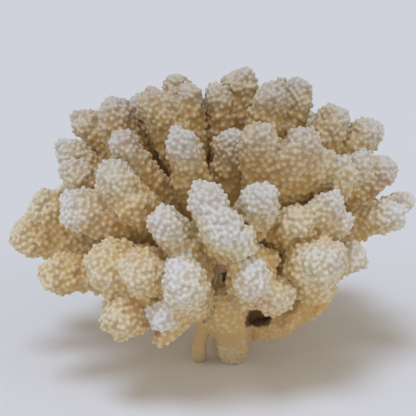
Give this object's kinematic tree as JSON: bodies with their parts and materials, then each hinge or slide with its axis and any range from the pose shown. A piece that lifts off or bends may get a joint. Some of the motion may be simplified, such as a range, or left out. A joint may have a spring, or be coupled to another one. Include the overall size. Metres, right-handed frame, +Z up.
{
  "type": "cauliflower coral",
  "caption": "Bleached branching coral skeleton: a wide dome of thick, wart-covered lobes that fork from a short trunk, cut off flat to stand.",
  "frame": {"origin": "on the flat cut under the trunk, at the level of the surface that the coral stands on", "axes": "+Z up out of the cut; +X to the right along the colony's longest way; -Y towards the front"},
  "size_m": [0.2311, 0.1915, 0.1651],
  "materials": {
    "coral_skeleton": "matte"
  },
  "bodies": {
    "root": {"trunk": "coral_skeleton", "far_left_branch": "coral_skeleton", "lower_left_branch": "coral_skeleton", "drooping_front_left_branch": "coral_skeleton", "left_palm_branch": "coral_skeleton", "left_shoulder_branch": "coral_skeleton", "left_outer_branch": "coral_skeleton", "inner_left_branch": "coral_skeleton", "upper_left_branch": "coral_skeleton", "upper_left_rear_branch": "coral_skeleton", "top_left_branch": "coral_skeleton", "left_upright_branch": "coral_skeleton", "top_middle_branch": "coral_skeleton", "top_right_inner_branch": "coral_skeleton", "top_right_branch": "coral_skeleton", "front_twin_branch": "coral_skeleton", "centre_right_branch": "coral_skeleton", "centre_front_branch": "coral_skeleton", "knobbly_front_branch": "coral_skeleton", "low_front_left_branch": "coral_skeleton", "low_front_right_branch": "coral_skeleton", "rosette_branch": "coral_skeleton", "inner_right_branch": "coral_skeleton", "right_branch": "coral_skeleton", "far_right_branch": "coral_skeleton", "knobbly_right_branch": "coral_skeleton", "outer_right_branch": "coral_skeleton", "upper_right_branch": "coral_skeleton", "crown_middle_branch": "coral_skeleton", "back_right_low_branch": "coral_skeleton", "back_right_branch": "coral_skeleton", "back_middle_right_branch": "coral_skeleton", "back_middle_branch": "coral_skeleton", "back_middle_left_branch": "coral_skeleton", "back_left_branch": "coral_skeleton", "back_left_low_branch": "coral_skeleton", "upper_back_right_branch": "coral_skeleton", "upper_back_branch": "coral_skeleton", "upper_back_left_branch": "coral_skeleton", "crown_back_branch": "coral_skeleton", "crown_back_left_branch": "coral_skeleton"}
  },
  "joints": []
}
